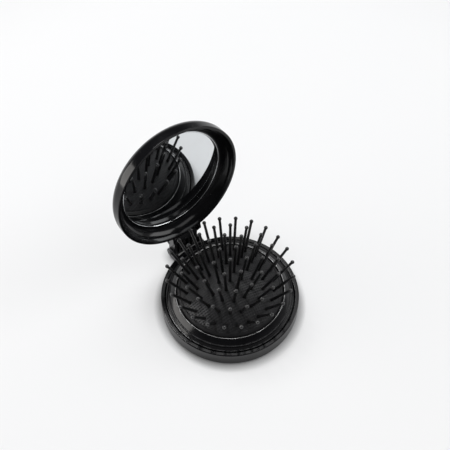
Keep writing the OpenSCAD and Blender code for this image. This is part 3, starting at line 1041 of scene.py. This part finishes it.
def foam(name, groups):
    made, tree, shader = blank_material(name)
    skin = use(tree, groups["moulded_skin"], Wave=1.0, Grain=0.1, Grain_Share=1.0)["Height"]
    tint = blend_colour(tree, skin, (0.42, 0.42, 0.41), (0.55, 0.55, 0.54))
    tree.links.new(tint, shader.inputs["Base Color"])
    tree.links.new(bump(tree, skin, 0.1), shader.inputs["Normal"])
    shader.inputs["Roughness"].default_value = 0.9
    return made


# ---- studio ----

view_pitch = math.radians(57.2)      # the camera looks this far down
view_turn = math.radians(36.71)      # and is turned this far from the Y axis
view_distance = 577.7                # to the point below
seen_point = Vector((0, 0, 9))       # seen at the pixel below, in the 450 x 450 frame
seen_pixel = (230.0, 294.3)
focal_px = 1208.0
frame_px = 450
sensor_w = 36.0

floor_w = 6                          # metres
floor_far = (190, 480)               # millimetres over which it turns plain white
floor_glow = (0.455, 0.93)           # what it adds for the camera, near and far
floor_shown = 0.33                   # and for what mirrors it
contact_reach = 4.5                  # millimetres round the object over which a painted contact shadow darkens the floor
contact_depth = 2.5
sky_white = 0.95                     # as the camera sees it
sky_band = (0.32, 0.05)              # in what is glossy: at the horizon, and above it
sky_fill = (0.12, 0.5)               # as light: from the horizon, and from overhead

# name, direction from the brush, distance, width and height in metres, radiance, colour
lamps = (
    ("key_lamp", (-0.02, 0.47, 0.89), 0.8, 0.20, 0.20, 24.0, (1, 1, 1)),
    ("top_lamp", (0.24, 0.45, 0.86), 0.9, 0.40, 0.46, 1.7, (1, 1, 1)),
    ("left_lamp", (-0.82, 0.535, 0.20), 1.0, 0.92, 0.50, 3.8, (1.0, 0.975, 0.945)),
    ("right_lamp", (0.79, -0.304, 0.53), 1.0, 0.50, 0.68, 3.4, (1, 1, 1)),
    ("front_lamp", (0.2, -0.45, 0.87), 1.0, 0.52, 0.42, 1.4, (1, 1, 1)),
)


def view_axes():
    forward = Vector((
        math.sin(view_turn) * math.cos(view_pitch),
        math.cos(view_turn) * math.cos(view_pitch),
        -math.sin(view_pitch),
    ))
    right = Vector((math.cos(view_turn), -math.sin(view_turn), 0))
    return right, right.cross(forward), forward


def camera():
    right, up, forward = view_axes()
    off_x = (seen_pixel[0] - frame_px / 2) / focal_px * view_distance
    off_y = (frame_px / 2 - seen_pixel[1]) / focal_px * view_distance
    place = seen_point - right * off_x - up * off_y - forward * view_distance
    data = bpy.data.cameras.new("camera")
    data.sensor_width = sensor_w
    data.lens = focal_px / frame_px * sensor_w
    data.clip_start = 0.01
    made = bpy.data.objects.new("camera", data)
    turn = Matrix((right, up, -forward)).transposed().to_4x4()
    made.matrix_world = Matrix.Translation(place * MM) @ turn
    bpy.context.scene.collection.objects.link(made)
    bpy.context.scene.camera = made


def softbox(name, direction, distance, width, height, radiance, colour):
    """A rectangular lamp that looks at the brush; radiance 1 shows as white."""
    data = bpy.data.lights.new(name, "AREA")
    data.shape = "RECTANGLE"
    data.size = width
    data.size_y = height
    data.energy = radiance * math.pi * width * height
    data.color = colour
    made = bpy.data.objects.new(name, data)
    towards = Vector(direction).normalized()
    made.location = towards * distance + Vector((0, 0, 0.03))
    made.rotation_euler = towards.to_track_quat("Z", "Y").to_euler()
    bpy.context.scene.collection.objects.link(made)


def floor():
    """Pale floor that keeps the object's shadow, with a painted contact shadow close to it, and
    turns plain white far away.
    """
    bpy.ops.mesh.primitive_grid_add(x_subdivisions=4, y_subdivisions=4, size=floor_w)
    made = bpy.context.object
    made.name = "floor"
    material, tree, shader = blank_material("pale_floor")
    cloud = noise(tree, millimetres(tree), 0.004, 2.0)
    tint = blend_colour(tree, cloud, (0.385, 0.39, 0.40), (0.405, 0.407, 0.41))
    path = add(tree, "LightPath").outputs
    far = spread(tree, distance_to(tree, (0, 0, 0)), *floor_far)
    far = maths(tree, "MULTIPLY", far, path["Is Camera Ray"])
    tree.links.new(blend_colour(tree, far, tint, (0, 0, 0)), shader.inputs["Base Color"])
    shader.inputs["Roughness"].default_value = 0.75
    shader.inputs["Specular IOR Level"].default_value = 0.1
    mirrored = maths(tree, "MAXIMUM", path["Is Glossy Ray"], path["Is Transmission Ray"])
    mirrored = maths(tree, "MULTIPLY", mirrored, floor_shown)
    glow = spread(tree, far, 0, 1, *floor_glow)
    white = maths(tree, "MULTIPLY", path["Is Camera Ray"], glow)
    seen = maths(tree, "MAXIMUM", mirrored, white)
    # the glow fades close to the object: a painted contact shadow
    open_sky = add(tree, "AmbientOcclusion", {"Distance": contact_reach * MM}).outputs["AO"]
    shadow = maths(tree, "POWER", open_sky, contact_depth)
    shader.inputs["Emission Color"].default_value = (1, 1, 1, 1)
    tree.links.new(maths(tree, "MULTIPLY", seen, shadow), shader.inputs["Emission Strength"])
    made.data.materials.append(material)


def world():
    """White to the camera; a soft fill from above; dark overhead in what is glossy."""
    made = bpy.data.worlds.new("studio")
    made.use_nodes = True
    tree = made.node_tree
    tree.nodes.clear()
    path = add(tree, "LightPath").outputs
    direction = add(tree, "TexCoord").outputs["Generated"]
    height = add(tree, "SeparateXYZ", {0: direction}).outputs["Z"]
    band = spread(tree, height, 0.0, 0.4, *sky_band)
    fill = spread(tree, height, -0.1, 1.0, *sky_fill)
    unseen = add(tree, "Mix", {"Factor": path["Is Glossy Ray"], 2: fill, 3: band}).outputs[0]
    choice = {"Factor": path["Is Camera Ray"], 2: unseen, 3: sky_white}
    level = add(tree, "Mix", choice).outputs[0]
    back = add(tree, "Background", {"Color": (1, 1, 1, 1), "Strength": level})
    add(tree, "OutputWorld", {"Surface": back.outputs[0]})
    bpy.context.scene.world = made


def studio():
    camera()
    floor()
    world()
    for lamp in lamps:
        softbox(*lamp)


# ---- the whole ----

def shared_groups():
    makers = {
        "moulded_skin": moulded_skin_group,
        "edge_wear": edge_wear_group,
        "dust": dust_group,
        "hairlines": hairlines_group,
    }
    return {name: make() for name, make in makers.items()}


black = (0.0035, 0.0035, 0.0042)
nylon_black = (0.003, 0.003, 0.0035)
inner_black = (0.018, 0.018, 0.02)
polished = {"gloss": 0.11, "wear": 0.12, "dust": 0.55, "peel": 0.012, "lines": 0.5}
handled = {"gloss": 0.2, "wear": 0.3, "dust": 0.55, "peel": 0.012, "lines": 0.5}
smooth = {"gloss": 0.27, "wear": 0.0, "dust": 0.0, "peel": 0.01, "lines": 0.2}
as_moulded = {"gloss": 0.45, "wear": 0.2, "dust": 0.3, "peel": 0.03, "lines": 0.2}
# painted highlight: a thin pale line along the bezel's crest
bezel_crest_highlight = (crest_highlight_line, (0.6, 0.6, 0.6))
# painted highlight: pale edges on the link's ribs
link_edge_highlight = (link_rib_highlight, (0.04, 0.04, 0.042))
pale_balls = (ball_tips, (0.017, 0.017, 0.018))


def dress():
    """Makes every piece and its material, and dresses what stays hidden."""
    groups = shared_groups()
    gloss = plastic("polished_black_plastic", groups, black, **polished)
    crest = plastic("bezel_black_plastic", groups, black, **polished, pale=bezel_crest_highlight)
    link = plastic("link_black_plastic", groups, black, **handled, pale=link_edge_highlight)
    nylon = plastic("black_nylon", groups, nylon_black, **smooth, pale=pale_balls, ior=1.6)
    matt = plastic("inner_black_plastic", groups, inner_black, **as_moulded)
    steel = drawn_steel("drawn_steel", groups)
    pins = pin_directions()
    base_shell(gloss)
    base_bezel(crest)
    dome = cushion(rubber("black_rubber", groups), pins)
    fold_with_lid(dome)
    names = ["pin_centre"] + [f"pins_ring_{k}" for k in range(1, pin_rings + 1)]
    for node, directions in zip(names, pins):
        fold_with_lid(pin_ring(nylon, directions, node))
    push_button(gloss)
    hinge_link(link)
    hinge_pin(steel, low_pivot, "lower_hinge_pin", "base")
    hinge_pin(steel, top_pivot, "upper_hinge_pin", "lid")
    lid_shell(gloss)
    mirror_bezel(gloss)
    mirror_glass(silvered_glass("silvered_glass", groups))
    padding = foam("pad_foam", groups)
    hidden = {"clamp_ring": matt, "spreader_disc": matt, "mirror_pad": padding}
    for node, material in hidden.items():
        frame["nodes"][node].data.materials.clear()
        frame["nodes"][node].data.materials.append(material)


dress()
studio()
bpy.context.scene.view_settings.view_transform = "Standard"
